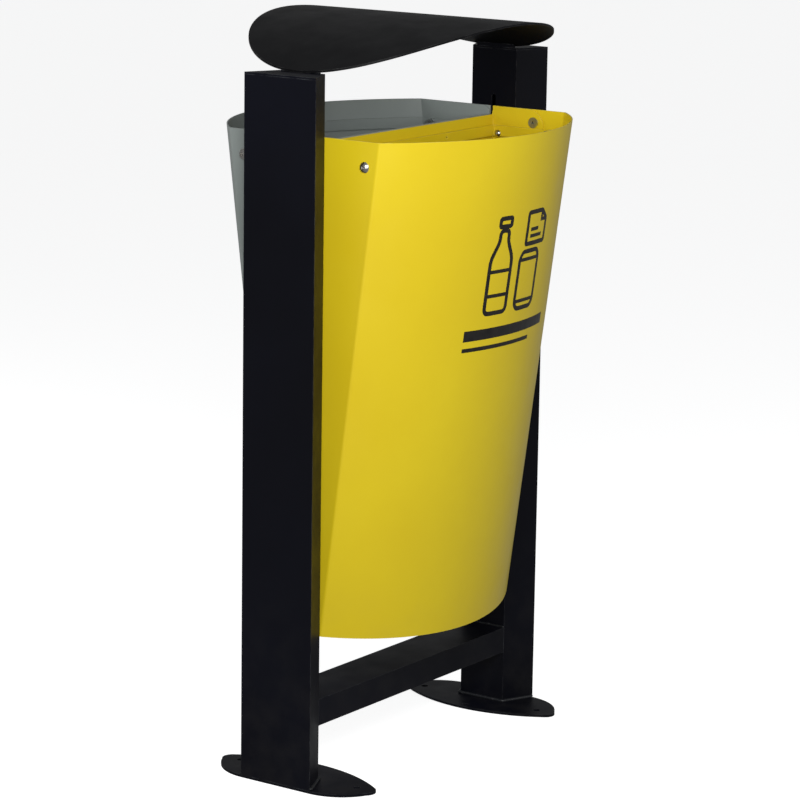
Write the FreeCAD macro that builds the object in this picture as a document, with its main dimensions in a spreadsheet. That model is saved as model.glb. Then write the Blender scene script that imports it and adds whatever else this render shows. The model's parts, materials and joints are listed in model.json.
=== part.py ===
"""Two-compartment litter bin: two bins that tilt out of a frame of two posts under an arched canopy.

X runs from post to post, the front bin faces -Y, Z is up from the floor, and the origin is on the floor in
the middle. The object is the same after half a turn about Z, so the rear bin and the left post, foot and
cap are the front bin's and the right post's own shapes, turned by 180 degrees.
"""
import FreeCAD, Part
import math
import os
import Sketcher

VECTOR = FreeCAD.Vector

# Driving dimensions in millimetres (angles in degrees). Distances "forward" run from the middle to -Y.
SIZES = [
    ("span", 593), ("post_height", 1040), ("post_outer_width", 126), ("post_inner_width", 80),
    ("post_depth", 52), ("post_wall", 3), ("post_slot_width", 7.4), ("post_slot_top", 967),
    ("post_slot_bottom", 150), ("cap_thickness", 3),
    ("beam_width", 80), ("beam_height", 40), ("beam_wall", 3), ("beam_bottom", 86),
    ("foot_thickness", 4), ("foot_straight", 62), ("foot_tip_reach", 133), ("foot_inner_reach", 129),
    ("foot_tip_inset", 44.5), ("foot_inner_inset", 70.5), ("foot_width", 109.5), ("foot_tip_radius", 16),
    ("foot_hole_radius", 5.5), ("foot_hole_forward", 107), ("foot_hole_inset", 56),
    ("foot_middle_hole_radius", 4.5), ("foot_middle_hole_inset", 98), ("foot_weld", 5), ("weld_edge", 0.6),
    ("canopy_overlap", 11.5), ("canopy_half_width", 206), ("canopy_rise", 62), ("canopy_sheet", 3),
    ("canopy_weld_width", 66), ("canopy_weld_inset", 1),
    ("sheet", 2), ("end_gap", 3.2), ("back_clearance", 2.5), ("rim_height", 950), ("bottom_height", 220),
    ("fold_top", 133), ("fold_bottom", 39), ("bulge_top", 105), ("bulge_bottom", 99), ("fold_radius", 6),
    ("bottom_angle", 10.15), ("cut_margin", 40),
    ("back_top", 937), ("flange_top", 98), ("flange_bottom", 34), ("flange_back_corner", 12),
    ("flange_front_corner", 26), ("floor_inset", 22), ("floor_gap", 0.4), ("drain_radius", 5),
    ("drain_spacing", 150), ("drain_forward", 70),
    ("ring_height", 16), ("ring_bar", 3), ("ring_level", 913.5), ("ring_axis_forward", 107),
    ("ring_end_gap", 2.6), ("ring_back_gap", 3), ("ring_front_gap", 4.5), ("ring_hole_radius", 2.5),
    ("ring_hole_spacing", 208), ("ring_screw_forward", 17), ("ring_screw_drop", 4.5),
    ("bolt_radius", 4), ("bolt_play", 0.05), ("head_radius", 8.2), ("head_height", 4.4), ("nut_across", 13),
    ("nut_height", 6.5), ("nut_clear", 0.4), ("washer_radius", 8), ("washer_play", 0.2),
    ("small_screw_radius", 2), ("small_head_radius", 5.5), ("small_head_height", 3),
    ("socket_across", 5), ("socket_depth", 2.6), ("small_socket_across", 2.5), ("small_socket_depth", 1.6),
    ("tilt_axis_forward", 24), ("tilt_axis_height", 233),
    ("lock_forward", 78), ("lock_height", 930), ("lock_radius", 6), ("lock_flange_radius", 8),
    ("lock_flange", 2), ("lock_nut_radius", 8.5), ("lock_nut_height", 3), ("lock_reach", 4.2),
    ("plug_radius", 3.95), ("plug_play", 0.05), ("key_side", 5.5), ("key_depth", 5), ("cam_thickness", 2),
    ("cam_hub_radius", 8), ("cam_finger_inner", 29), ("cam_finger_outer", 33), ("cam_arm_width", 8),
    ("keeper_radius", 2.5), ("keeper_forward", 53), ("keeper_plate", 2), ("keeper_half_height", 9),
    ("keeper_outer_forward", 61),
]

# Sizes and places that follow from the driving ones.
WORKED = [
    ("outer_x", "dims.span / 2"),
    ("inner_x", "dims.span / 2 - dims.post_depth"),
    ("post_outer_half", "dims.post_outer_width / 2"),
    ("post_inner_half", "dims.post_inner_width / 2"),
    ("side_slope", "(dims.post_outer_width - dims.post_inner_width) / 2 / dims.post_depth"),
    ("side_wall", "dims.post_wall * sqrt(1 + worked.side_slope ^ 2)"),
    ("bore_outer_x", "worked.outer_x - dims.post_wall"),
    ("bore_inner_x", "worked.inner_x + dims.post_wall"),
    ("bore_outer_half", "worked.post_outer_half - dims.post_wall * worked.side_slope - worked.side_wall"),
    ("bore_inner_half", "worked.post_inner_half + dims.post_wall * worked.side_slope - worked.side_wall"),
    ("tube_length", "dims.post_height - dims.cap_thickness - dims.foot_thickness"),
    ("cap_level", "dims.post_height - dims.cap_thickness"),
    ("slot_half", "dims.post_slot_width / 2"),
    ("slot_low", "dims.post_slot_bottom + worked.slot_half"),
    ("slot_high", "dims.post_slot_top - worked.slot_half"),
    ("face_cut", "2 * dims.post_wall + 2"),
    ("beam_half", "dims.beam_width / 2"),
    ("beam_top", "dims.beam_bottom + dims.beam_height"),
    ("beam_bore_half", "worked.beam_half - dims.beam_wall"),
    ("beam_bore_bottom", "dims.beam_bottom + dims.beam_wall"),
    ("beam_bore_top", "worked.beam_top - dims.beam_wall"),
    ("beam_length", "2 * worked.inner_x"),
    ("foot_tip_x", "worked.outer_x - dims.foot_tip_inset"),
    ("foot_inner_x", "worked.outer_x - dims.foot_inner_inset"),
    ("foot_bulge", "dims.foot_width - dims.foot_inner_inset"),
    ("foot_side_run", "dims.foot_tip_reach - dims.foot_straight"),
    ("foot_side_radius", "(worked.foot_side_run ^ 2 + dims.foot_tip_inset ^ 2) / (2 * dims.foot_tip_inset)"),
    ("foot_inner_radius", "(dims.foot_inner_reach ^ 2 + worked.foot_bulge ^ 2) / (2 * worked.foot_bulge)"),
    ("foot_hole_x", "worked.outer_x - dims.foot_hole_inset"),
    ("foot_middle_x", "worked.outer_x - dims.foot_middle_hole_inset"),
    ("weld_low_x", "worked.inner_x - dims.foot_weld"),
    ("weld_low_outer", "worked.post_outer_half + dims.foot_weld"),
    ("weld_low_inner", "worked.post_inner_half + dims.foot_weld"),
    ("weld_top_x", "worked.inner_x - dims.weld_edge"),
    ("weld_top_outer", "worked.post_outer_half + dims.weld_edge"),
    ("weld_top_inner", "worked.post_inner_half + dims.weld_edge"),
    ("weld_level", "dims.foot_thickness + dims.foot_weld"),
    ("canopy_half_length", "worked.inner_x + dims.canopy_overlap"),
    ("arch_radius", "(worked.canopy_half_length ^ 2 + dims.canopy_rise ^ 2) / (2 * dims.canopy_rise)"),
    ("arch_outer_radius", "worked.arch_radius + dims.canopy_sheet"),
    ("arch_centre", "dims.post_height + dims.canopy_rise - worked.arch_radius"),
    ("canopy_width", "2 * dims.canopy_half_width"),
    ("canopy_span_height", "dims.canopy_rise + 2 * dims.canopy_sheet"),
    ("canopy_weld_x", "worked.inner_x + dims.canopy_weld_inset"),
    ("canopy_weld_length", "dims.canopy_overlap / 2"),
    # Bin skin: the front is a rolled sheet between a wide arc at the rim and a near arc at the bottom.
    ("bin_half", "worked.inner_x - dims.end_gap"),
    ("bin_half_in", "worked.bin_half - dims.sheet"),
    ("low_level", "dims.bottom_height - dims.cut_margin"),
    ("past_bottom", "dims.cut_margin / (dims.rim_height - dims.bottom_height)"),
    ("fold_low", "dims.fold_bottom - (dims.fold_top - dims.fold_bottom) * worked.past_bottom"),
    ("bulge_low", "dims.bulge_bottom - (dims.bulge_top - dims.bulge_bottom) * worked.past_bottom"),
    ("top_radius", "(worked.bin_half ^ 2 + dims.bulge_top ^ 2) / (2 * dims.bulge_top)"),
    ("low_radius", "(worked.bin_half ^ 2 + worked.bulge_low ^ 2) / (2 * worked.bulge_low)"),
    ("top_centre", "dims.fold_top + dims.bulge_top - worked.top_radius"),
    ("low_centre", "worked.fold_low + worked.bulge_low - worked.low_radius"),
    ("top_radius_in", "worked.top_radius - dims.sheet"),
    ("low_radius_in", "worked.low_radius - dims.sheet"),
    # The folds are rounded about one centre line inside and out; they meet the front at these points.
    ("fold_radius_in", "dims.fold_radius - dims.sheet"),
    ("fold_x", "worked.bin_half - dims.fold_radius"),
    ("top_reach", "worked.top_radius - dims.fold_radius"),
    ("low_reach", "worked.low_radius - dims.fold_radius"),
    ("top_fold", "worked.top_centre + sqrt(worked.top_reach ^ 2 - worked.fold_x ^ 2)"),
    ("low_fold", "worked.low_centre + sqrt(worked.low_reach ^ 2 - worked.fold_x ^ 2)"),
    ("top_meet_x", "worked.fold_x * worked.top_radius / worked.top_reach"),
    ("low_meet_x", "worked.fold_x * worked.low_radius / worked.low_reach"),
    ("top_meet", "worked.top_centre + (worked.top_fold - worked.top_centre) * worked.top_radius / worked.top_reach"),
    ("low_meet", "worked.low_centre + (worked.low_fold - worked.low_centre) * worked.low_radius / worked.low_reach"),
    ("top_meet_x_in", "worked.fold_x * worked.top_radius_in / worked.top_reach"),
    ("low_meet_x_in", "worked.fold_x * worked.low_radius_in / worked.low_reach"),
    ("top_meet_in",
     "worked.top_centre + (worked.top_fold - worked.top_centre) * worked.top_radius_in / worked.top_reach"),
    ("low_meet_in",
     "worked.low_centre + (worked.low_fold - worked.low_centre) * worked.low_radius_in / worked.low_reach"),
    # Bottom edge: a square cut across the leaning front, so it falls towards the front.
    ("cut_slope", "tan(dims.bottom_angle)"),
    ("cut_front", "dims.fold_top + dims.bulge_top"),
    ("cut_front_level", "dims.bottom_height - (worked.cut_front - dims.fold_bottom) * worked.cut_slope"),
    ("cut_back_level", "dims.bottom_height + (dims.fold_bottom + dims.cut_margin) * worked.cut_slope"),
    ("cut_low_level", "worked.cut_front_level - 2 * dims.cut_margin"),
    ("cut_length", "2 * dims.span"),
    # Back panel with its end flanges.
    ("panel_half", "worked.bin_half - dims.sheet"),
    ("panel_half_in", "worked.panel_half - dims.sheet"),
    ("panel_width", "2 * worked.panel_half"),
    ("panel_width_in", "2 * worked.panel_half_in"),
    ("panel_face", "dims.back_clearance + dims.sheet"),
    ("panel_back_level", "dims.bottom_height + (dims.fold_bottom - dims.back_clearance) * worked.cut_slope"),
    ("flange_low_level", "dims.bottom_height + (dims.fold_bottom - dims.flange_bottom) * worked.cut_slope"),
    ("flange_back_level", "dims.rim_height - dims.flange_back_corner"),
    ("flange_back_edge", "dims.back_clearance + dims.flange_back_corner"),
    ("flange_lean", "(dims.flange_top - dims.flange_bottom) / (dims.rim_height - worked.flange_low_level)"),
    ("flange_front_edge", "dims.flange_top - dims.flange_front_corner"),
    ("flange_front_level", "dims.rim_height - dims.flange_front_corner"),
    ("flange_front_low", "dims.flange_top - dims.flange_front_corner * worked.flange_lean"),
    ("flange_front_radius", "dims.flange_front_corner * 1.1"),
    ("above_rim", "dims.rim_height + dims.cut_margin"),
    # Floor plate, parallel to the bottom edge.
    ("floor_half", "worked.panel_half_in"),
    ("floor_back", "worked.panel_face"),
    ("floor_top_radius", "worked.top_radius_in - dims.floor_gap"),
    ("floor_low_radius", "worked.low_radius_in - dims.floor_gap"),
    ("floor_top_fold", "worked.top_centre + sqrt(worked.floor_top_radius ^ 2 - worked.floor_half ^ 2)"),
    ("floor_low_fold", "worked.low_centre + sqrt(worked.floor_low_radius ^ 2 - worked.floor_half ^ 2)"),
    ("floor_under_front", "worked.cut_front_level + dims.floor_inset"),
    ("floor_under_back", "worked.cut_back_level + dims.floor_inset"),
    ("floor_over_front", "worked.floor_under_front + dims.sheet"),
    ("floor_over_back", "worked.floor_under_back + dims.sheet"),
    # Bag ring, hinged on two dome-head bolts through the ends of the skin.
    ("ring_part", "(dims.rim_height - dims.ring_level + dims.ring_height / 2) / (dims.rim_height - dims.bottom_height)"),
    ("ring_fold", "dims.fold_top - (dims.fold_top - dims.fold_bottom) * worked.ring_part"),
    ("ring_bulge", "dims.bulge_top - (dims.bulge_top - dims.bulge_bottom) * worked.ring_part"),
    ("ring_skin_radius", "(worked.bin_half ^ 2 + worked.ring_bulge ^ 2) / (2 * worked.ring_bulge)"),
    ("ring_centre", "worked.ring_fold + worked.ring_bulge - worked.ring_skin_radius"),
    ("ring_half", "worked.panel_half_in - dims.ring_end_gap"),
    ("ring_back", "worked.panel_face + dims.ring_back_gap"),
    ("ring_radius", "worked.ring_skin_radius - dims.sheet - dims.ring_front_gap"),
    ("ring_front", "worked.ring_centre + sqrt(worked.ring_radius ^ 2 - worked.ring_half ^ 2)"),
    ("ring_half_in", "worked.ring_half - dims.ring_bar"),
    ("ring_back_in", "worked.ring_back + dims.ring_bar"),
    ("ring_radius_in", "worked.ring_radius - dims.ring_bar"),
    ("ring_front_in", "worked.ring_centre + sqrt(worked.ring_radius_in ^ 2 - worked.ring_half_in ^ 2)"),
    ("ring_hole_x", "dims.ring_hole_spacing / 2"),
    ("ring_cut", "4 * worked.ring_back"),
    # Fasteners, along X at each end.
    ("bolt_hole", "dims.bolt_radius + dims.bolt_play"),
    ("head_bulge", "(dims.head_radius ^ 2 + dims.head_height ^ 2) / (2 * dims.head_height)"),
    ("small_bulge", "(dims.small_head_radius ^ 2 + dims.small_head_height ^ 2) / (2 * dims.small_head_height)"),
    ("pivot_head_x", "worked.bin_half + dims.head_height"),
    ("pivot_tip_x", "worked.ring_half_in - dims.nut_clear - dims.nut_height"),
    ("pivot_nut_x", "worked.ring_half_in - dims.nut_clear"),
    ("spacer_inner_x", "worked.ring_half + dims.washer_play"),
    ("screw_head_x", "worked.ring_half_in - dims.small_head_height"),
    ("screw_level", "dims.ring_level - dims.ring_screw_drop"),
    ("tilt_face_x", "worked.panel_half_in - dims.nut_clear"),
    ("tilt_head_x", "worked.tilt_face_x - dims.head_height"),
    ("tilt_nut_x", "worked.bore_inner_x + dims.nut_height"),
    ("tilt_tip_x", "worked.tilt_nut_x + 1"),
    ("tilt_washer_x", "worked.bin_half + dims.washer_play"),
    ("socket_half", "dims.socket_across / 2"),
    ("socket_side", "dims.socket_across / 2 / sqrt(3)"),
    ("socket_corner", "dims.socket_across / sqrt(3)"),
    ("socket_cut", "2 * dims.socket_depth"),
    ("small_socket_half", "dims.small_socket_across / 2"),
    ("small_socket_side", "dims.small_socket_across / 2 / sqrt(3)"),
    ("small_socket_corner", "dims.small_socket_across / sqrt(3)"),
    ("small_socket_cut", "2 * dims.small_socket_depth"),
    ("nut_half", "dims.nut_across / 2"),
    ("nut_side", "dims.nut_across / 2 / sqrt(3)"),
    ("nut_corner", "dims.nut_across / sqrt(3)"),
    # Lock at the right-hand end of each bin, with its key socket facing into the bin.
    ("lock_face_x", "worked.panel_half_in - dims.lock_flange"),
    ("lock_out_x", "worked.bin_half + dims.lock_reach"),
    ("lock_nut_x", "worked.bin_half + dims.lock_nut_height"),
    ("lock_bore", "dims.plug_radius + dims.plug_play"),
    ("cam_x", "worked.lock_out_x + dims.nut_clear"),
    ("plug_end_x", "worked.cam_x + dims.cam_thickness"),
    ("key_corner", "dims.key_side / sqrt(3)"),
    ("key_flat", "dims.key_side / sqrt(3) / 2"),
    ("key_half", "dims.key_side / 2"),
    ("key_cut", "2 * dims.key_depth"),
    ("keeper_plate_x", "worked.plug_end_x + dims.nut_clear"),
    ("keeper_far_x", "worked.keeper_plate_x + dims.keeper_plate"),
    ("keeper_root", "worked.post_inner_half + (worked.keeper_plate_x - worked.inner_x) * worked.side_slope"),
    ("keeper_far_root", "worked.post_inner_half + (worked.keeper_far_x - worked.inner_x) * worked.side_slope"),
    ("keeper_bottom", "dims.lock_height - dims.keeper_half_height"),
    ("keeper_height", "2 * dims.keeper_half_height"),
    ("keeper_pin_length", "worked.keeper_plate_x - worked.cam_x + dims.nut_clear / 2"),
]

BINS = (("front", 0), ("rear", 180))
ENDS = (("right", 0), ("left", 180))
MIRRORED_NORMAL = VECTOR(1, 0, 0)

doc = FreeCAD.newDocument("litter_bin")
dims = doc.addObject("Spreadsheet::Sheet", "dims")
worked = doc.addObject("Spreadsheet::Sheet", "worked")
for row, (alias, value) in enumerate(SIZES, 1):
    dims.set("A%d" % row, str(value))
    dims.setAlias("A%d" % row, alias)
for row, (alias, formula) in enumerate(WORKED, 1):
    worked.set("A%d" % row, "=" + formula.replace("worked.", ""))
    worked.setAlias("A%d" % row, alias)
doc.recompute()
SHEET_OF = {alias: "dims" for alias, _ in SIZES}
SHEET_OF.update({alias: "worked" for alias, _ in WORKED})


def size(name):
    """Value of a named size; a leading minus turns its sign."""
    if name == "0":
        return 0.0
    if name.startswith("-"):
        return -size(name[1:])
    sheet = dims if SHEET_OF[name] == "dims" else worked
    value = sheet.get(name)
    return float(getattr(value, "Value", value))


def term(name):
    """The same size as an expression that FreeCAD keeps up to date."""
    sign = "-" if name.startswith("-") else ""
    bare = name.lstrip("-")
    return "%s%s.%s" % (sign, SHEET_OF[bare], bare)


def bind(thing, prop, name):
    thing.setExpression(prop, term(name))


def turned(angle):
    return FreeCAD.Placement(VECTOR(0, 0, 0), FreeCAD.Rotation(VECTOR(0, 0, 1), angle))


def new_body(label, turn=0):
    body = doc.addObject("PartDesign::Body", label)
    body.Label = label
    body.Placement = turned(turn)
    return body


def new_sketch(body, role, offset=None):
    """Sketch on one of the body's own planes, moved along its normal by a named size."""
    sketch = body.newObject("Sketcher::SketchObject", body.Label + "_sketch")
    plane = [feature for feature in body.Origin.OriginFeatures if feature.Role == role][0]
    sketch.AttachmentSupport = [(plane, "")]
    sketch.MapMode = "FlatFace"
    if offset:
        sketch.AttachmentOffset = FreeCAD.Placement(VECTOR(0, 0, size(offset)), FreeCAD.Rotation())
        bind(sketch, "AttachmentOffset.Base.z", offset)
    return sketch


def pin_point(sketch, edge, end, across, up):
    """Hold one end of an edge at named distances from the sketch's origin."""
    for kind, axis, name in (("DistanceX", -2, across), ("DistanceY", -1, up)):
        if name == "0":
            sketch.addConstraint(Sketcher.Constraint("PointOnObject", edge, end, axis))
            continue
        index = sketch.addConstraint(Sketcher.Constraint(kind, -1, 1, edge, end, size(name)))
        bind(sketch, "Constraints[%d]" % index, name)


def arc_edge(start, end, radius, bulge_left):
    """Minor arc between two points, and whether it runs from start to end anticlockwise."""
    middle = (start + end) * 0.5
    along = (end - start).normalize()
    right = VECTOR(along.y, -along.x, 0)
    rise = math.sqrt(radius ** 2 - (start.distanceToPoint(end) / 2) ** 2)
    centre = middle + right * (rise if bulge_left else -rise)
    first, last = (end, start) if bulge_left else (start, end)
    low = math.atan2(first.y - centre.y, first.x - centre.x)
    high = math.atan2(last.y - centre.y, last.x - centre.x)
    if high < low:
        high += 2 * math.pi
    return Part.ArcOfCircle(Part.Circle(centre, VECTOR(0, 0, 1), radius), low, high), not bulge_left


def outline(sketch, corners, arcs=None):
    """Closed outline through named corners; arcs maps an edge to its radius and the side it bulges to."""
    arcs = arcs or {}
    points = [VECTOR(size(across), size(up), 0) for across, up in corners]
    first_edge = sketch.GeometryCount
    ends = []
    for number, start in enumerate(points):
        end = points[(number + 1) % len(points)]
        if number in arcs:
            radius, side = arcs[number]
            curve, forward = arc_edge(start, end, size(radius), side == "left")
            sketch.addGeometry(curve, False)
            ends.append((1, 2) if forward else (2, 1))
        else:
            sketch.addGeometry(Part.LineSegment(start, end), False)
            ends.append((1, 2))
    for number, corner in enumerate(corners):
        following = (number + 1) % len(corners)
        edge = first_edge + number
        next_edge = first_edge + following
        sketch.addConstraint(Sketcher.Constraint("Coincident", edge, ends[number][1], next_edge, ends[following][0]))
        pin_point(sketch, edge, ends[number][0], corner[0], corner[1])
        if number in arcs:
            radius = arcs[number][0]
            index = sketch.addConstraint(Sketcher.Constraint("Radius", edge, size(radius)))
            bind(sketch, "Constraints[%d]" % index, radius)


def circle(sketch, across, up, radius):
    centre = VECTOR(size(across), size(up), 0)
    edge = sketch.addGeometry(Part.Circle(centre, VECTOR(0, 0, 1), size(radius)), False)
    pin_point(sketch, edge, 3, across, up)
    index = sketch.addConstraint(Sketcher.Constraint("Radius", edge, size(radius)))
    bind(sketch, "Constraints[%d]" % index, radius)


def upright_slot(sketch, half, low, high):
    """Slot with half-round ends, centred on the sketch's vertical axis."""
    radius = size(half)
    bottom, top = VECTOR(0, size(low), 0), VECTOR(0, size(high), 0)
    side = VECTOR(radius, 0, 0)
    normal = VECTOR(0, 0, 1)
    sketch.addGeometry([Part.LineSegment(bottom + side, top + side),
                        Part.ArcOfCircle(Part.Circle(top, normal, radius), 0, math.pi),
                        Part.LineSegment(top - side, bottom - side),
                        Part.ArcOfCircle(Part.Circle(bottom, normal, radius), math.pi, 2 * math.pi)], False)
    corners = [(half, low), (half, high), ("-" + half, high), ("-" + half, low)]
    for edge, (across, up) in enumerate(corners):
        sketch.addConstraint(Sketcher.Constraint("Coincident", edge, 2, (edge + 1) % 4, 1))
        pin_point(sketch, edge, 1, across, up)
    for edge, level in ((1, high), (3, low)):
        index = sketch.addConstraint(Sketcher.Constraint("DistanceY", -1, 1, edge, 3, size(level)))
        bind(sketch, "Constraints[%d]" % index, level)


def rectangle(sketch, left, right, bottom, top):
    outline(sketch, [(left, bottom), (right, bottom), (right, top), (left, top)])


def pad(body, sketch, length, both_ways=False):
    feature = body.newObject("PartDesign::Pad", body.Label + "_pad")
    feature.Profile = sketch
    bind(feature, "Length", length)
    feature.Midplane = both_ways
    doc.recompute()
    return feature


def pocket(body, sketch, length):
    """Cut the same depth to both sides of the sketch, and make sure that it removed material."""
    before = body.Shape.Volume
    feature = body.newObject("PartDesign::Pocket", body.Label + "_pocket")
    feature.Profile = sketch
    feature.Midplane = True
    bind(feature, "Length", length)
    doc.recompute()
    if body.Shape.Volume > before - 1:
        raise RuntimeError(body.Label + ": a pocket cut nothing")
    return feature


def loft(body, kind, low, high):
    feature = body.newObject(kind, body.Label + "_loft")
    feature.Profile = low
    feature.Sections = [high]
    feature.Ruled = True
    doc.recompute()
    return feature


def mirrored_pair(label, source):
    """Group of two equal pieces, one at each end of the object."""
    twin = doc.addObject("Part::Mirroring", label + "_twin")
    twin.Source = source
    twin.Normal = MIRRORED_NORMAL
    group = doc.addObject("Part::Compound", label)
    group.Label = label
    group.Links = [source, twin]
    return group


def set_along(body, forward, level, turn):
    """Put a piece that is modelled on the X axis at its own place in the bin."""
    sign = "-" if turn == 0 else ""
    body.Placement = FreeCAD.Placement(
        VECTOR(0, size(sign + forward), size(level)), FreeCAD.Rotation(VECTOR(0, 0, 1), turn))
    bind(body, "Placement.Base.y", sign + forward)
    bind(body, "Placement.Base.z", level)


def turned_piece(label, corners, arcs, forward, level, turn):
    """Solid of revolution about X, from a half section of named distances along and off the axis."""
    body = new_body(label)
    sketch = new_sketch(body, "XY_Plane")
    outline(sketch, corners, arcs)
    feature = body.newObject("PartDesign::Revolution", label + "_turned")
    feature.Profile = sketch
    feature.ReferenceAxis = (sketch, ["H_Axis"])
    feature.Angle = 360
    doc.recompute()
    set_along(body, forward, level, turn)
    return body


def hexagon(sketch, name):
    half, side, corner = (name + part for part in ("_half", "_side", "_corner"))
    outline(sketch, [(half, "-" + side), (half, side), ("0", corner),
                     ("-" + half, side), ("-" + half, "-" + side), ("0", "-" + corner)])


def cut_socket(screw, name, face):
    """Hexagon socket sunk into a dome head from its crown."""
    sketch = new_sketch(screw, "YZ_Plane", face)
    hexagon(sketch, name)
    pocket(screw, sketch, name + "_cut")


def hex_nut(label, face, length, forward, level, turn, hole):
    body = new_body(label)
    sketch = new_sketch(body, "YZ_Plane", face)
    hexagon(sketch, "nut")
    circle(sketch, "0", "0", hole)
    pad(body, sketch, length)
    set_along(body, forward, level, turn)
    return body


def post_outline(sketch):
    outline(sketch, [("outer_x", "-post_outer_half"), ("outer_x", "post_outer_half"),
                     ("inner_x", "post_inner_half"), ("inner_x", "-post_inner_half")])


def make_post(label, turn):
    body = new_body(label, turn)
    section = new_sketch(body, "XY_Plane", "foot_thickness")
    post_outline(section)
    outline(section, [("bore_outer_x", "-bore_outer_half"), ("bore_outer_x", "bore_outer_half"),
                      ("bore_inner_x", "bore_inner_half"), ("bore_inner_x", "-bore_inner_half")])
    pad(body, section, "tube_length")
    face = new_sketch(body, "YZ_Plane", "inner_x")
    upright_slot(face, "slot_half", "slot_low", "slot_high")
    for side in ("tilt_axis_forward", "-tilt_axis_forward"):
        circle(face, side, "tilt_axis_height", "bolt_radius")
    pocket(body, face, "face_cut")
    return body


def make_cap(label, turn):
    body = new_body(label, turn)
    sketch = new_sketch(body, "XY_Plane", "cap_level")
    post_outline(sketch)
    pad(body, sketch, "cap_thickness")
    return body


def make_foot(label, turn):
    body = new_body(label, turn)
    sketch = new_sketch(body, "XY_Plane")
    outline(sketch,
            [("outer_x", "-foot_straight"), ("outer_x", "foot_straight"), ("foot_tip_x", "foot_tip_reach"),
             ("foot_inner_x", "foot_inner_reach"), ("foot_inner_x", "-foot_inner_reach"),
             ("foot_tip_x", "-foot_tip_reach")],
            {1: ("foot_side_radius", "right"), 2: ("foot_tip_radius", "right"),
             3: ("foot_inner_radius", "right"), 4: ("foot_tip_radius", "right"),
             5: ("foot_side_radius", "right")})
    for side in ("foot_hole_forward", "-foot_hole_forward"):
        circle(sketch, "foot_hole_x", side, "foot_hole_radius")
    circle(sketch, "foot_middle_x", "0", "foot_middle_hole_radius")
    pad(body, sketch, "foot_thickness")
    return body


def make_foot_weld(label, turn):
    body = new_body(label, turn)
    low = new_sketch(body, "XY_Plane", "foot_thickness")
    outline(low, [("outer_x", "-weld_low_outer"), ("outer_x", "weld_low_outer"),
                  ("weld_low_x", "weld_low_inner"), ("weld_low_x", "-weld_low_inner")])
    high = new_sketch(body, "XY_Plane", "weld_level")
    outline(high, [("outer_x", "-weld_top_outer"), ("outer_x", "weld_top_outer"),
                   ("weld_top_x", "weld_top_inner"), ("weld_top_x", "-weld_top_inner")])
    loft(body, "PartDesign::AdditiveLoft", low, high)
    hollow = new_sketch(body, "XY_Plane", "foot_thickness")
    post_outline(hollow)
    pocket(body, hollow, "post_height")
    return body


def make_beam():
    body = new_body("cross_beam")
    sketch = new_sketch(body, "YZ_Plane")
    rectangle(sketch, "-beam_half", "beam_half", "beam_bottom", "beam_top")
    rectangle(sketch, "-beam_bore_half", "beam_bore_half", "beam_bore_bottom", "beam_bore_top")
    pad(body, sketch, "beam_length", True)
    return body


def arch_cylinder(label, radius):
    """Cylinder along Y whose top is the arch of the canopy."""
    cylinder = doc.addObject("Part::Cylinder", label)
    bind(cylinder, "Radius", radius)
    bind(cylinder, "Height", "canopy_width")
    cylinder.Placement = FreeCAD.Placement(
        VECTOR(0, size("canopy_half_width"), size("arch_centre")), FreeCAD.Rotation(VECTOR(1, 0, 0), 90))
    bind(cylinder, "Placement.Base.y", "canopy_half_width")
    bind(cylinder, "Placement.Base.z", "arch_centre")
    return cylinder


def make_canopy():
    arch = doc.addObject("Part::Cut", "canopy_arch")
    arch.Base = arch_cylinder("canopy_outside", "arch_outer_radius")
    arch.Tool = arch_cylinder("canopy_inside", "arch_radius")
    ellipse = doc.addObject("Part::Ellipse", "canopy_ellipse")
    bind(ellipse, "MajorRadius", "canopy_half_length")
    bind(ellipse, "MinorRadius", "canopy_half_width")
    bind(ellipse, "Placement.Base.z", "post_height")
    prism = doc.addObject("Part::Extrusion", "canopy_prism")
    prism.Base = ellipse
    prism.DirMode = "Custom"
    prism.Dir = VECTOR(0, 0, 1)
    prism.Solid = True
    bind(prism, "LengthFwd", "canopy_span_height")
    canopy = doc.addObject("Part::Common", "canopy")
    canopy.Label = "canopy"
    canopy.Base = arch
    canopy.Tool = prism
    return canopy


def make_canopy_weld(label, turn):
    """Weld under the canopy's end, between the post's cap and the sheet."""
    block = doc.addObject("Part::Box", label + "_block")
    bind(block, "Length", "canopy_weld_length")
    bind(block, "Width", "canopy_weld_width")
    bind(block, "Height", "canopy_rise")
    block.setExpression("Placement.Base.x", "worked.canopy_weld_x")
    block.setExpression("Placement.Base.y", "-dims.canopy_weld_width / 2")
    block.setExpression("Placement.Base.z", "dims.post_height")
    weld = doc.addObject("Part::Common", label)
    weld.Label = label
    weld.Base = block
    weld.Tool = arch_cylinder(label + "_limit", "arch_radius")
    weld.Placement = turned(turn)
    return weld


def front_outline(sketch, half, back, fold, radius):
    """Plan of the bin: straight back and ends, and a front that bulges forward."""
    outline(sketch, [(half, back), (half, "-" + fold), ("-" + half, "-" + fold), ("-" + half, back)],
            {1: (radius, "left")})


def bin_loft(body, kind, half, back, folds, radii):
    low = new_sketch(body, "XY_Plane", "low_level")
    front_outline(low, half, back, folds[0], radii[0])
    high = new_sketch(body, "XY_Plane", "rim_height")
    front_outline(high, half, back, folds[1], radii[1])
    return loft(body, kind, low, high)


def folded_outline(sketch, half, back, level, inside):
    """Plan of the skin at one level: like the bin's plan, with rounded folds beside the front."""
    fold = "-" + level + "_fold"
    meet_x = level + "_meet_x" + inside
    meet = "-" + level + "_meet" + inside
    outline(sketch, [(half, back), (half, fold), (meet_x, meet), ("-" + meet_x, meet), ("-" + half, fold),
                     ("-" + half, back)],
            {1: ("fold_radius" + inside, "left"), 2: (level + "_radius" + inside, "left"),
             3: ("fold_radius" + inside, "left")})


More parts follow.
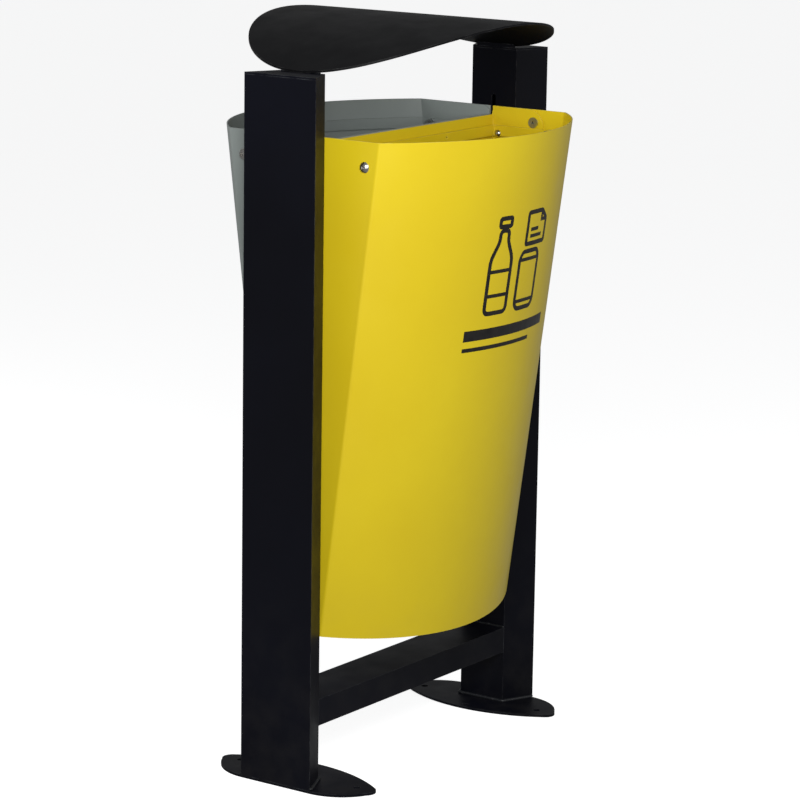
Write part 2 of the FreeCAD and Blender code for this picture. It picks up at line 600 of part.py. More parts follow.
def skin_loft(body, kind, half, back, inside=""):
    low = new_sketch(body, "XY_Plane", "low_level")
    folded_outline(low, half, back, "low", inside)
    high = new_sketch(body, "XY_Plane", "rim_height")
    folded_outline(high, half, back, "top", inside)
    return loft(body, kind, low, high)


def below_cut(body):
    sketch = new_sketch(body, "YZ_Plane")
    outline(sketch, [("cut_margin", "cut_back_level"), ("-cut_front", "cut_front_level"),
                     ("-cut_front", "cut_low_level"), ("cut_margin", "cut_low_level")])
    return sketch


def make_skin(name, turn):
    body = new_body(name + "_skin", turn)
    skin_loft(body, "PartDesign::AdditiveLoft", "bin_half", "-back_clearance")
    skin_loft(body, "PartDesign::SubtractiveLoft", "bin_half_in", "back_clearance", "_in")
    pocket(body, below_cut(body), "cut_length")
    holes = new_sketch(body, "YZ_Plane")
    circle(holes, "-tilt_axis_forward", "tilt_axis_height", "bolt_hole")
    circle(holes, "-ring_axis_forward", "ring_level", "bolt_radius")
    pocket(body, holes, "cut_length")
    lock_hole = new_sketch(body, "YZ_Plane", "bin_half")
    circle(lock_hole, "-lock_forward", "lock_height", "lock_radius")
    pocket(body, lock_hole, "bin_half")
    return body


def make_back_panel(name, turn):
    body = new_body(name + "_back_panel", turn)
    flange = new_sketch(body, "YZ_Plane")
    outline(flange,
            [("-back_clearance", "panel_back_level"), ("-back_clearance", "flange_back_level"),
             ("-flange_back_edge", "rim_height"), ("-flange_front_edge", "rim_height"),
             ("-flange_front_low", "flange_front_level"), ("-flange_bottom", "flange_low_level")],
            {1: ("flange_back_corner", "right"), 3: ("flange_front_radius", "right")})
    pad(body, flange, "panel_width", True)
    hollow = new_sketch(body, "YZ_Plane")
    rectangle(hollow, "-cut_front", "-panel_face", "low_level", "above_rim")
    pocket(body, hollow, "panel_width_in")
    top = new_sketch(body, "YZ_Plane")
    rectangle(top, "-cut_front", "cut_margin", "back_top", "above_rim")
    pocket(body, top, "panel_width_in")
    holes = new_sketch(body, "YZ_Plane")
    circle(holes, "-tilt_axis_forward", "tilt_axis_height", "bolt_hole")
    pocket(body, holes, "cut_length")
    lock_hole = new_sketch(body, "YZ_Plane", "bin_half")
    circle(lock_hole, "-lock_forward", "lock_height", "lock_radius")
    pocket(body, lock_hole, "bin_half")
    return body


def make_floor(name, turn):
    body = new_body(name + "_floor", turn)
    bin_loft(body, "PartDesign::AdditiveLoft", "floor_half", "-floor_back",
             ("floor_low_fold", "floor_top_fold"), ("floor_low_radius", "floor_top_radius"))
    under = new_sketch(body, "YZ_Plane")
    outline(under, [("cut_margin", "floor_under_back"), ("-cut_front", "floor_under_front"),
                    ("-cut_front", "cut_low_level"), ("cut_margin", "cut_low_level")])
    pocket(body, under, "cut_length")
    over = new_sketch(body, "YZ_Plane")
    outline(over, [("cut_margin", "floor_over_back"), ("-cut_front", "floor_over_front"),
                   ("-cut_front", "above_rim"), ("cut_margin", "above_rim")])
    pocket(body, over, "cut_length")
    drains = new_sketch(body, "XY_Plane", "bottom_height")
    for across in ("-drain_spacing", "0", "drain_spacing"):
        circle(drains, across, "-drain_forward", "drain_radius")
    pocket(body, drains, "bottom_height")
    return body


def make_ring(name, turn):
    body = new_body(name + "_bag_ring", turn)
    sketch = new_sketch(body, "XY_Plane", "ring_level")
    front_outline(sketch, "ring_half", "-ring_back", "ring_front", "ring_radius")
    front_outline(sketch, "ring_half_in", "-ring_back_in", "ring_front_in", "ring_radius_in")
    pad(body, sketch, "ring_height", True)
    pivots = new_sketch(body, "YZ_Plane")
    circle(pivots, "-ring_axis_forward", "ring_level", "bolt_hole")
    circle(pivots, "-ring_screw_forward", "screw_level", "small_screw_radius")
    pocket(body, pivots, "cut_length")
    back_holes = new_sketch(body, "XZ_Plane")
    for across in ("-ring_hole_x", "ring_hole_x"):
        circle(back_holes, across, "ring_level", "ring_hole_radius")
    pocket(body, back_holes, "ring_cut")
    return body


def make_ring_fasteners(name, turn):
    place = ("ring_axis_forward", "ring_level", turn)
    bolt = turned_piece(name + "_ring_bolt",
                        [("pivot_tip_x", "0"), ("pivot_head_x", "0"), ("bin_half", "head_radius"),
                         ("bin_half", "bolt_radius"), ("pivot_tip_x", "bolt_radius")],
                        {1: ("head_bulge", "right")}, *place)
    cut_socket(bolt, "socket", "pivot_head_x")
    spacer = turned_piece(name + "_ring_spacer",
                          [("spacer_inner_x", "bolt_radius"), ("bin_half_in", "bolt_radius"),
                           ("bin_half_in", "washer_radius"), ("spacer_inner_x", "washer_radius")], {}, *place)
    nut = hex_nut(name + "_ring_nut", "pivot_tip_x", "nut_height", *place, "bolt_radius")
    screw = turned_piece(name + "_ring_screw",
                         [("screw_head_x", "0"), ("ring_half", "0"), ("ring_half", "small_screw_radius"),
                          ("ring_half_in", "small_screw_radius"), ("ring_half_in", "small_head_radius")],
                         {4: ("small_bulge", "right")}, "ring_screw_forward", "screw_level", turn)
    cut_socket(screw, "small_socket", "screw_head_x")
    return [mirrored_pair(name + "_ring_pivot_bolts", bolt), mirrored_pair(name + "_ring_spacers", spacer),
            mirrored_pair(name + "_ring_nuts", nut), mirrored_pair(name + "_ring_screws", screw)]


def make_tilt_fasteners(name, turn):
    place = ("tilt_axis_forward", "tilt_axis_height", turn)
    bolt = turned_piece(name + "_tilt_bolt",
                        [("tilt_head_x", "0"), ("tilt_tip_x", "0"), ("tilt_tip_x", "bolt_radius"),
                         ("tilt_face_x", "bolt_radius"), ("tilt_face_x", "head_radius")],
                        {4: ("head_bulge", "right")}, *place)
    cut_socket(bolt, "socket", "tilt_head_x")
    washer = turned_piece(name + "_tilt_washer",
                          [("tilt_washer_x", "bolt_radius"), ("inner_x", "bolt_radius"),
                           ("inner_x", "washer_radius"), ("tilt_washer_x", "washer_radius")], {}, *place)
    nut = hex_nut(name + "_tilt_nut", "bore_inner_x", "nut_height", *place, "bolt_radius")
    return [mirrored_pair(name + "_tilt_bolts", bolt), mirrored_pair(name + "_tilt_washers", washer),
            mirrored_pair(name + "_tilt_nuts", nut)]


def make_lock(name, turn):
    place = ("lock_forward", "lock_height", turn)
    barrel = turned_piece(name + "_lock_body",
                          [("lock_face_x", "lock_bore"), ("lock_out_x", "lock_bore"), ("lock_out_x", "lock_radius"),
                           ("panel_half_in", "lock_radius"), ("panel_half_in", "lock_flange_radius"),
                           ("lock_face_x", "lock_flange_radius")], {}, *place)
    nut = turned_piece(name + "_lock_nut",
                       [("bin_half", "lock_radius"), ("lock_nut_x", "lock_radius"),
                        ("lock_nut_x", "lock_nut_radius"), ("bin_half", "lock_nut_radius")], {}, *place)
    plug = turned_piece(name + "_lock_plug",
                        [("lock_face_x", "0"), ("plug_end_x", "0"), ("plug_end_x", "plug_radius"),
                         ("lock_face_x", "plug_radius")], {}, *place)
    socket = new_sketch(plug, "YZ_Plane", "lock_face_x")
    outline(socket, [("0", "key_corner"), ("-key_half", "-key_flat"), ("key_half", "-key_flat")])
    pocket(plug, socket, "key_cut")
    return [barrel, nut, plug, make_cam(name, turn)]


def disc(label, radius, length, start):
    """Cylinder along X whose near face is at a named distance."""
    cylinder = doc.addObject("Part::Cylinder", label)
    bind(cylinder, "Radius", radius)
    bind(cylinder, "Height", length)
    cylinder.Placement = FreeCAD.Placement(VECTOR(size(start), 0, 0), FreeCAD.Rotation(VECTOR(0, 1, 0), 90))
    bind(cylinder, "Placement.Base.x", start)
    return cylinder


def make_cam(name, turn):
    """Cam with a curved finger, hanging down when unlocked; a quarter turn takes the finger behind the keeper."""
    label = name + "_lock_cam"
    arm = doc.addObject("Part::Box", label + "_arm")
    bind(arm, "Length", "cam_thickness")
    bind(arm, "Width", "cam_arm_width")
    bind(arm, "Height", "cam_finger_inner")
    arm.Placement = FreeCAD.Placement(VECTOR(size("cam_x"), 0, 0), FreeCAD.Rotation())
    bind(arm, "Placement.Base.x", "cam_x")
    arm.setExpression("Placement.Base.y", "-dims.cam_arm_width - dims.keeper_radius - 2 * dims.nut_clear")
    arm.setExpression("Placement.Base.z", "-dims.cam_finger_inner")
    rim = doc.addObject("Part::Cut", label + "_rim")
    rim.Base = disc(label + "_outer", "cam_finger_outer", "cam_thickness", "cam_x")
    rim.Tool = disc(label + "_inner", "cam_finger_inner", "cam_thickness", "cam_x")
    window = doc.addObject("Part::Box", label + "_window")
    bind(window, "Length", "cam_thickness")
    window.setExpression("Width", "dims.cam_arm_width + 2 * dims.keeper_radius + 4 * dims.nut_clear")
    bind(window, "Height", "cam_finger_outer")
    window.Placement = FreeCAD.Placement(VECTOR(size("cam_x"), 0, 0), FreeCAD.Rotation())
    bind(window, "Placement.Base.x", "cam_x")
    window.setExpression("Placement.Base.y", "-dims.cam_arm_width - dims.keeper_radius - 2 * dims.nut_clear")
    window.setExpression("Placement.Base.z", "-dims.cam_finger_outer")
    finger = doc.addObject("Part::Common", label + "_finger")
    finger.Base = rim
    finger.Tool = window
    solid = doc.addObject("Part::MultiFuse", label + "_solid")
    solid.Shapes = [disc(label + "_hub", "cam_hub_radius", "cam_thickness", "cam_x"), arm, finger]
    cam = doc.addObject("Part::Cut", label)
    cam.Label = label
    cam.Base = solid
    cam.Tool = disc(label + "_bore", "plug_radius", "cam_thickness", "cam_x")
    set_along(cam, "lock_forward", "lock_height", turn)
    return cam


def make_keeper(name, turn):
    """Stud on a plate welded to the post's slanted side, which the cam's finger passes behind."""
    label = name + "_lock_keeper"
    body = new_body(label, turn)
    plate = new_sketch(body, "XY_Plane", "keeper_bottom")
    outline(plate, [("keeper_plate_x", "-keeper_root"), ("keeper_far_x", "-keeper_far_root"),
                    ("keeper_far_x", "-keeper_outer_forward"), ("keeper_plate_x", "-keeper_outer_forward")])
    pad(body, plate, "keeper_height")
    stud = new_sketch(body, "YZ_Plane", "keeper_plate_x")
    circle(stud, "-keeper_forward", "lock_height", "keeper_radius")
    feature = pad(body, stud, "keeper_pin_length")
    feature.Reversed = True
    doc.recompute()
    return body


pieces = [make_beam(), make_canopy()]
for side, half_turn in ENDS:
    pieces.append(make_post(side + "_post", half_turn))
    pieces.append(make_cap(side + "_post_cap", half_turn))
    pieces.append(make_foot(side + "_foot_plate", half_turn))
    pieces.append(make_foot_weld(side + "_foot_weld", half_turn))
    pieces.append(make_canopy_weld(side + "_canopy_weld", half_turn))
for bin_name, half_turn in BINS:
    pieces.append(make_skin(bin_name, half_turn))
    pieces.append(make_back_panel(bin_name, half_turn))
    pieces.append(make_floor(bin_name, half_turn))
    pieces.append(make_ring(bin_name, half_turn))
    pieces += make_ring_fasteners(bin_name, half_turn)
    pieces += make_tilt_fasteners(bin_name, half_turn)
    pieces += make_lock(bin_name, half_turn)
    pieces.append(make_keeper(bin_name, half_turn))
doc.recompute()

for item in doc.Objects:
    if "Invalid" in item.State or "Error" in item.State:
        raise RuntimeError(item.Label + " did not compute: " + str(item.State))
for piece in pieces:
    if piece.Shape.isNull() or not piece.Shape.isValid():
        raise RuntimeError(piece.Label + " has no valid shape")

os.makedirs("parts", exist_ok=True)
for piece in pieces:
    piece.Shape.exportStep("parts/%s.step" % piece.Label)
print("pieces:", len(pieces))
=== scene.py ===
"""Looks of the two-compartment litter bin: coats, metals, welds, printed label, camera and studio light."""
import json
import math
import random

import bpy
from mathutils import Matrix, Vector
from mathutils.bvhtree import BVHTree


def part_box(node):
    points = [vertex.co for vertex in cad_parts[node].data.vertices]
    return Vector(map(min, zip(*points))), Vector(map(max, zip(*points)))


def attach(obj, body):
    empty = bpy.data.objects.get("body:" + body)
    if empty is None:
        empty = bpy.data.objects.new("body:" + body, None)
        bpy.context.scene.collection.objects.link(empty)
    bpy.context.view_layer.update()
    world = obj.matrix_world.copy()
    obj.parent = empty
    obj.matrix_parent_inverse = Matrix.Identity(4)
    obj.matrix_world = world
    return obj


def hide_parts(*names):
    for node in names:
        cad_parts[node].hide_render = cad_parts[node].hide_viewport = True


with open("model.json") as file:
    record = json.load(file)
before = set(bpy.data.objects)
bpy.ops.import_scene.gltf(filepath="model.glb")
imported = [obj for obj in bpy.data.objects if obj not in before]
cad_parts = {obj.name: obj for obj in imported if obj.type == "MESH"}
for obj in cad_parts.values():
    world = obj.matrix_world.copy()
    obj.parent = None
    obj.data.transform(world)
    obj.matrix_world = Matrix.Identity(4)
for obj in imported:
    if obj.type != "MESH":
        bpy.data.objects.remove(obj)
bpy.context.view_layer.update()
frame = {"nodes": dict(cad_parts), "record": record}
NODES = frame["nodes"]


# ---------------------------------------------------------------- materials

BEVEL_SAMPLES = 4
EDGE_DOT_FLAT = 0.995
EDGE_DOT_WORN_AND_HIGHLIT = 0.90


class Shade:
    """Small helper that builds one material's node tree around its Principled shader."""

    def __init__(self, name):
        self.material = bpy.data.materials.new(name)
        self.material.use_nodes = True
        self.tree = self.material.node_tree
        self.tree.nodes.clear()
        self.shader = self.tree.nodes.new("ShaderNodeBsdfPrincipled")
        output = self.tree.nodes.new("ShaderNodeOutputMaterial")
        self.tree.links.new(self.shader.outputs["BSDF"], output.inputs["Surface"])
        self.place = self.tree.nodes.new("ShaderNodeTexCoord").outputs["Object"]

    def link(self, source, target):
        self.tree.links.new(source, target)

    def set(self, **values):
        for name, value in values.items():
            self.shader.inputs[name.replace("_", " ")].default_value = value

    def stretched(self, scale):
        node = self.tree.nodes.new("ShaderNodeMapping")
        node.inputs["Scale"].default_value = scale
        self.link(self.place, node.inputs["Vector"])
        return node.outputs["Vector"]

    def noise(self, scale, detail=3.0, stretch=None, roughness=0.55):
        node = self.tree.nodes.new("ShaderNodeTexNoise")
        node.inputs["Scale"].default_value = scale
        node.inputs["Detail"].default_value = detail
        node.inputs["Roughness"].default_value = roughness
        self.link(self.stretched(stretch) if stretch else self.place, node.inputs["Vector"])
        return node.outputs["Fac"]

    def spread(self, source, low, high, to_low=0.0, to_high=1.0):
        node = self.tree.nodes.new("ShaderNodeMapRange")
        node.inputs["From Min"].default_value = low
        node.inputs["From Max"].default_value = high
        node.inputs["To Min"].default_value = to_low
        node.inputs["To Max"].default_value = to_high
        self.link(source, node.inputs["Value"])
        return node.outputs["Result"]

    def math(self, operation, first, second):
        node = self.tree.nodes.new("ShaderNodeMath")
        node.operation = operation
        node.use_clamp = True
        for socket, value in zip(node.inputs, (first, second)):
            if isinstance(value, (int, float)):
                socket.default_value = value
            else:
                self.link(value, socket)
        return node.outputs["Value"]

    def mix(self, factor, first, second):
        node = self.tree.nodes.new("ShaderNodeMix")
        node.data_type = "RGBA"
        colours = [socket for socket in node.inputs if socket.type == "RGBA"]
        for socket, value in zip([node.inputs[0]] + colours, (factor, first, second)):
            if isinstance(value, tuple):
                socket.default_value = value + (1.0,)
            elif isinstance(value, (int, float)):
                socket.default_value = value
            else:
                self.link(value, socket)
        return [socket for socket in node.outputs if socket.type == "RGBA"][0]

    def height(self):
        node = self.tree.nodes.new("ShaderNodeSeparateXYZ")
        self.link(self.place, node.inputs["Vector"])
        return node.outputs["Z"]

    def bump(self, layers):
        """Chain of bumps from (height, distance in metres, strength)."""
        previous = None
        for source, distance, strength in layers:
            node = self.tree.nodes.new("ShaderNodeBump")
            node.inputs["Distance"].default_value = distance
            node.inputs["Strength"].default_value = strength
            self.link(source, node.inputs["Height"])
            if previous:
                self.link(previous, node.inputs["Normal"])
            previous = node.outputs["Normal"]
        self.link(previous, self.shader.inputs["Normal"])

    def edges(self, radius):
        """1 along outer edges, for rubbed paint and a painted edge highlight; 0 on flat faces."""
        rounded = self.tree.nodes.new("ShaderNodeBevel")
        rounded.samples = BEVEL_SAMPLES
        rounded.inputs["Radius"].default_value = radius
        plain = self.tree.nodes.new("ShaderNodeNewGeometry")
        dot = self.tree.nodes.new("ShaderNodeVectorMath")
        dot.operation = "DOT_PRODUCT"
        self.link(rounded.outputs["Normal"], dot.inputs[0])
        self.link(plain.outputs["Normal"], dot.inputs[1])
        return self.spread(dot.outputs["Value"], EDGE_DOT_FLAT, EDGE_DOT_WORN_AND_HIGHLIT)


WEAR_AND_HIGHLIGHT_EDGE_RADIUS = 0.0012
SCRATCH_STRETCH = (1.0, 26.0, 3.0)
DUST_TOP = 0.32
DUST_COLOUR = (0.16, 0.145, 0.12)
ORANGE_PEEL = (420.0, 0.0004, 0.10)
GRAIN_SCALE = 1700.0
GRAIN_DEPTH = 0.0002
COAT_ROUGHNESS = 0.22


def powder_coat(name, colour, shaded, roughness, specular, grain, wear_and_highlight_colour, dust_amount, gloss=0.0):
    """Baked powder coat: tone drift, orange peel, grain, hairline scratches, dust low down, and lighter edges
    that are partly rubbed paint and partly a painted highlight.
    """
    shade = Shade(name)
    drift = shade.spread(shade.noise(2.6, 2.0), 0.35, 0.68)
    mottle = shade.spread(shade.noise(38.0, 4.0), 0.3, 0.75)
    tone = shade.mix(shade.math("MULTIPLY", drift, 0.7), colour, shaded)
    tone = shade.mix(shade.math("MULTIPLY", mottle, 0.16), tone, shaded)
    scratch = shade.spread(shade.noise(9.0, 6.0, SCRATCH_STRETCH, 0.7), 0.735, 0.76)
    scratch = shade.math("MULTIPLY", scratch, shade.spread(shade.noise(5.0), 0.5, 0.62))
    # Lighter edges: partly rubbed paint, partly a painted highlight along the edges.
    rubbed_and_highlit_edges = shade.math("MULTIPLY", shade.edges(WEAR_AND_HIGHLIGHT_EDGE_RADIUS),
                        shade.spread(shade.noise(60.0), 0.38, 0.66))
    marks_and_highlights = shade.math("MAXIMUM", shade.math("MULTIPLY", scratch, 0.35),
                       shade.math("MULTIPLY", rubbed_and_highlit_edges, 0.7))
    tone = shade.mix(marks_and_highlights, tone, wear_and_highlight_colour)
    low = shade.spread(shade.height(), DUST_TOP, 0.0)
    dust = shade.math("MULTIPLY", low, shade.spread(shade.noise(24.0, 5.0), 0.42, 0.75))
    dust = shade.math("MULTIPLY", dust, dust_amount)
    tone = shade.mix(dust, tone, DUST_COLOUR)
    shade.link(tone, shade.shader.inputs["Base Color"])
    rough = shade.spread(shade.noise(16.0, 4.0), 0.3, 0.7, roughness - 0.05, roughness + 0.07)
    rough = shade.math("ADD", rough, shade.math("MULTIPLY", marks_and_highlights, 0.2))
    shade.link(shade.math("ADD", rough, shade.math("MULTIPLY", dust, 0.5)), shade.shader.inputs["Roughness"])
    peel_scale, peel_depth, peel_strength = ORANGE_PEEL
    shade.bump([(shade.noise(peel_scale, 2.0), peel_depth, peel_strength),
                (shade.noise(GRAIN_SCALE, 2.0), GRAIN_DEPTH, grain)])
    shade.set(Specular_IOR_Level=specular, Coat_Weight=gloss, Coat_Roughness=COAT_ROUGHNESS)
    return shade.material


def steel(name, colour, tarnish, roughness, scale):
    """Turned or plated steel with fine tool marks and slight tarnish."""
    shade = Shade(name)
    cloud = shade.spread(shade.noise(scale, 4.0), 0.35, 0.7)
    fine = shade.spread(shade.noise(scale * 14.0, 3.0), 0.35, 0.7)
    tone = shade.mix(shade.math("MULTIPLY", cloud, 0.55), colour, tarnish)
    shade.link(shade.mix(shade.math("MULTIPLY", fine, 0.2), tone, tarnish), shade.shader.inputs["Base Color"])
    shade.link(shade.spread(cloud, 0.0, 1.0, roughness, roughness + 0.16), shade.shader.inputs["Roughness"])
    shade.bump([(shade.noise(900.0, 3.0, (1.0, 6.0, 6.0)), 0.0001, 0.25)])
    shade.set(Metallic=1.0)
    return shade.material


def ink(name):
    """Printed film: black with a slight satin unevenness."""
    shade = Shade(name)
    cloud = shade.spread(shade.noise(55.0, 4.0), 0.3, 0.75)
    tone = shade.mix(cloud, (0.008, 0.007, 0.007), (0.02, 0.018, 0.016))
    shade.link(tone, shade.shader.inputs["Base Color"])
    shade.link(shade.spread(cloud, 0.0, 1.0, 0.32, 0.5), shade.shader.inputs["Roughness"])
    shade.bump([(shade.noise(800.0, 2.0), 0.0002, 0.12)])
    shade.set(Specular_IOR_Level=0.35)
    return shade.material


def weld_metal(name):
    """Painted-over weld metal: near-black with scaly ripples and a little bare spatter."""
    shade = Shade(name)
    bare = shade.spread(shade.noise(190.0, 5.0, roughness=0.7), 0.62, 0.72)
    bare = shade.math("MULTIPLY", bare, 0.55)
    tone = shade.mix(bare, (0.010, 0.011, 0.014), (0.20, 0.20, 0.21))
    shade.link(tone, shade.shader.inputs["Base Color"])
    shade.link(shade.spread(shade.noise(80.0), 0.3, 0.7, 0.34, 0.52), shade.shader.inputs["Roughness"])
    shade.bump([(shade.noise(600.0, 4.0), 0.0006, 0.35)])
    shade.set(Specular_IOR_Level=0.5)
    return shade.material


# The lighter copy of each coat colour marks scratches and edges; on the edges it is partly a painted
# highlight.
COATS = {
    "frame_coat": powder_coat(
        "frame_coat_blue_black", (0.0040, 0.0044, 0.0088), (0.0022, 0.0022, 0.0036), roughness=0.44,
        specular=0.13, grain=0.16, wear_and_highlight_colour=(0.085, 0.088, 0.095), dust_amount=0.05),
    "canopy_coat": powder_coat(
        "canopy_matt_black", (0.0034, 0.0034, 0.0042), (0.0020, 0.0020, 0.0024), roughness=0.50,
        specular=0.13, grain=0.22, wear_and_highlight_colour=(0.08, 0.08, 0.082), dust_amount=0.0),
    "yellow_coat": powder_coat(
        "bin_yellow_gloss", (0.80, 0.615, 0.014), (0.72, 0.52, 0.012), roughness=0.36,
        specular=0.36, grain=0.04, wear_and_highlight_colour=(0.90, 0.82, 0.22), dust_amount=0.10, gloss=0.08),
    "grey_coat": powder_coat(
        "bin_grey_green", (0.310, 0.345, 0.330), (0.245, 0.275, 0.262), roughness=0.40,
        specular=0.34, grain=0.05, wear_and_highlight_colour=(0.42, 0.46, 0.45), dust_amount=0.10, gloss=0.06),
    "stainless": steel("stainless_polished", (0.60, 0.585, 0.56), (0.36, 0.34, 0.31), 0.20, 160.0),
    "zinc_steel": steel("zinc_plated", (0.50, 0.51, 0.50), (0.30, 0.30, 0.28), 0.34, 110.0),
}
slot_of = {part["node"]: part["material_slot"] for part in frame["record"]["subparts"]}
for node, thing in NODES.items():
    coat = COATS[slot_of[node]]
    for slot in thing.material_slots:
        slot.material = coat
    if not thing.material_slots:
        thing.data.materials.append(coat)


# ---------------------------------------------------------------- softened edges on the CAD nodes

EDGE_SEGMENTS = 2
EDGE_ANGLE = math.radians(38)
EDGE_WIDTHS = (("_post", 0.0011), ("_post_cap", 0.0011), ("_foot_plate", 0.0009), ("cross_beam", 0.0014),
               ("canopy", 0.0010), ("_skin", 0.0006), ("_back_panel", 0.0006), ("_bag_ring", 0.0007))
for ending, width in EDGE_WIDTHS:
    for node, thing in NODES.items():
        if node.endswith(ending):
            soft = thing.modifiers.new("softened_edges", "BEVEL")
            soft.width = width
            soft.segments = EDGE_SEGMENTS
            soft.limit_method = "ANGLE"
            soft.angle_limit = EDGE_ANGLE
            soft.use_clamp_overlap = True


# ---------------------------------------------------------------- pieces

def add_piece(name, vertices, faces, material, body, smooth=True):
    mesh = bpy.data.meshes.new(name)
    mesh.from_pydata([tuple(point) for point in vertices], [], faces)
    mesh.validate()
    mesh.materials.append(material)
    for polygon in mesh.polygons:
        polygon.use_smooth = smooth
    piece = bpy.data.objects.new(name, mesh)
    bpy.context.scene.collection.objects.link(piece)
    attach(piece, body)
    return piece


def spaced(path, step):
    """Points along a polyline no more than a step apart."""
    points = [path[0]]
    for start, end in zip(path, path[1:]):
        count = max(1, math.ceil((end - start).length / step))
        points += [start.lerp(end, i / count) for i in range(1, count + 1)]
    return points


# Weld beads: overlapping scales along the joint, as a welder lays them.
BEAD_SIDES = 10
BEAD_STEP = 0.0009
SCALE_PITCH = 0.0036
BEAD_FADE = 0.003
FOOT_BEAD_RADIUS = 0.0030
FOOT_BEAD_LIFT = 0.0022
BEAM_BEAD_RADIUS = 0.0024
FOOT_BEAD_OUT = 0.0008
FOOT_BEAD_END = 0.001
BEAM_BEAD_OUT = 0.0006
FOOT_BEAD_SEED = 11
BEAM_BEAD_SEED = 31


def weld_bead(name, path, inward, radius, body, seed):
    """Open bead along a path, with both ends closed; inward is the direction to the joint's root."""
    rng = random.Random(seed)
    points = spaced(path, BEAD_STEP)
    vertices = []
    travelled = 0.0
    wobble = 1.0
    for number, point in enumerate(points):
        ahead = points[min(number + 1, len(points) - 1)]
        behind = points[max(number - 1, 0)]
        along = (ahead - behind).normalized()
        side = along.cross(Vector((0, 0, 1))).normalized()
        phase = (travelled % SCALE_PITCH) / SCALE_PITCH
        if phase < BEAD_STEP / SCALE_PITCH:
            wobble = rng.uniform(0.93, 1.06)
        swell = radius * wobble * (0.86 + 0.14 * math.sin(math.pi * phase))
        start_fade = min(1.0, (travelled + 0.0005) / BEAD_FADE)
        for k in range(BEAD_SIDES):
            angle = 2 * math.pi * k / BEAD_SIDES
            lag = along * (-0.35 * radius * math.sin(angle))
            offset = side * math.cos(angle) * swell + Vector((0, 0, 1)) * math.sin(angle) * swell
            vertices.append(point + inward * 0.2 * radius + offset * start_fade + lag)
        if number + 1 < len(points):
            travelled += (points[number + 1] - point).length
    faces = []
    for ring in range(len(points) - 1):
        for k in range(BEAD_SIDES):
            a = ring * BEAD_SIDES + k
            b = ring * BEAD_SIDES + (k + 1) % BEAD_SIDES
            faces.append((a, b, b + BEAD_SIDES, a + BEAD_SIDES))
    faces.append(tuple(reversed(range(BEAD_SIDES))))
    last = (len(points) - 1) * BEAD_SIDES
    faces.append(tuple(last + k for k in range(BEAD_SIDES)))
    return add_piece(name, vertices, faces, WELD, body)


WELD = weld_metal("weld_painted")
beam_low, beam_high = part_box("cross_beam")
for side, sign in (("left", -1), ("right", 1)):
    post_low, post_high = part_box(side + "_post")
    inner = post_low[0] if sign > 0 else post_high[0]
    outer = post_high[0] if sign > 0 else post_low[0]
    outer_end = outer - sign * FOOT_BEAD_END
    inner_end = inner - sign * FOOT_BEAD_OUT
    level = post_low[2] + FOOT_BEAD_LIFT
    corners = [Vector((outer_end, -post_high[1] - FOOT_BEAD_OUT, level)),
               Vector((inner_end, -beam_high[1] - FOOT_BEAD_OUT, level)),
               Vector((inner_end, beam_high[1] + FOOT_BEAD_OUT, level)),
               Vector((outer_end, post_high[1] + FOOT_BEAD_OUT, level))]
    bead = weld_bead(side + "_foot_bead", corners, Vector((0, 0, -1)), FOOT_BEAD_RADIUS, "frame",
                     FOOT_BEAD_SEED + sign)
    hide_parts(side + "_foot_weld")
    face = inner - sign * BEAM_BEAD_OUT
    for edge, height in (("top", beam_high[2] + BEAM_BEAD_OUT), ("bottom", beam_low[2] - BEAM_BEAD_OUT)):
        ends = [Vector((face, -beam_high[1], height)), Vector((face, beam_high[1], height))]
        weld_bead("%s_beam_bead_%s" % (side, edge), ends, Vector((sign, 0, 0)), BEAM_BEAD_RADIUS, "frame",
                  BEAM_BEAD_SEED + sign)


# Label on the front bin: plain line pictures of a bottle, a can and a sheet of paper over two plain bars.
LIFT = 0.00012
STROKE_MM = 6.8
LINE_SHARE = 0.8
STROKE_STEP_MM = 6.0
FILM_THICKNESS = 0.0001
skin = NODES["front_skin"]
skin_tree = BVHTree.FromPolygons([v.co for v in skin.data.vertices], [p.vertices for p in skin.data.polygons])


def on_skin(x, z):
    """Point just in front of the bin's curved front, at millimetres across and up."""
    start = Vector((x / 1000, -1.0, z / 1000))
    place, normal, _, _ = skin_tree.ray_cast(start, Vector((0, 1, 0)))
    return place + normal * LIFT


def rounded(points, radius, steps=5):
    """Closed polygon with its corners rounded, as a list of points."""
    result = []
    count = len(points)
    for number in range(count):
        corner = Vector(points[number])
        before = (Vector(points[number - 1]) - corner)
        after = (Vector(points[(number + 1) % count]) - corner)
        cut = min(radius, before.length * 0.45, after.length * 0.45)
        start = corner + before.normalized() * cut
        end = corner + after.normalized() * cut
        for k in range(steps + 1):
            u = k / steps
            result.append(start * (1 - u) ** 2 + corner * 2 * u * (1 - u) + end * u ** 2)
    return result


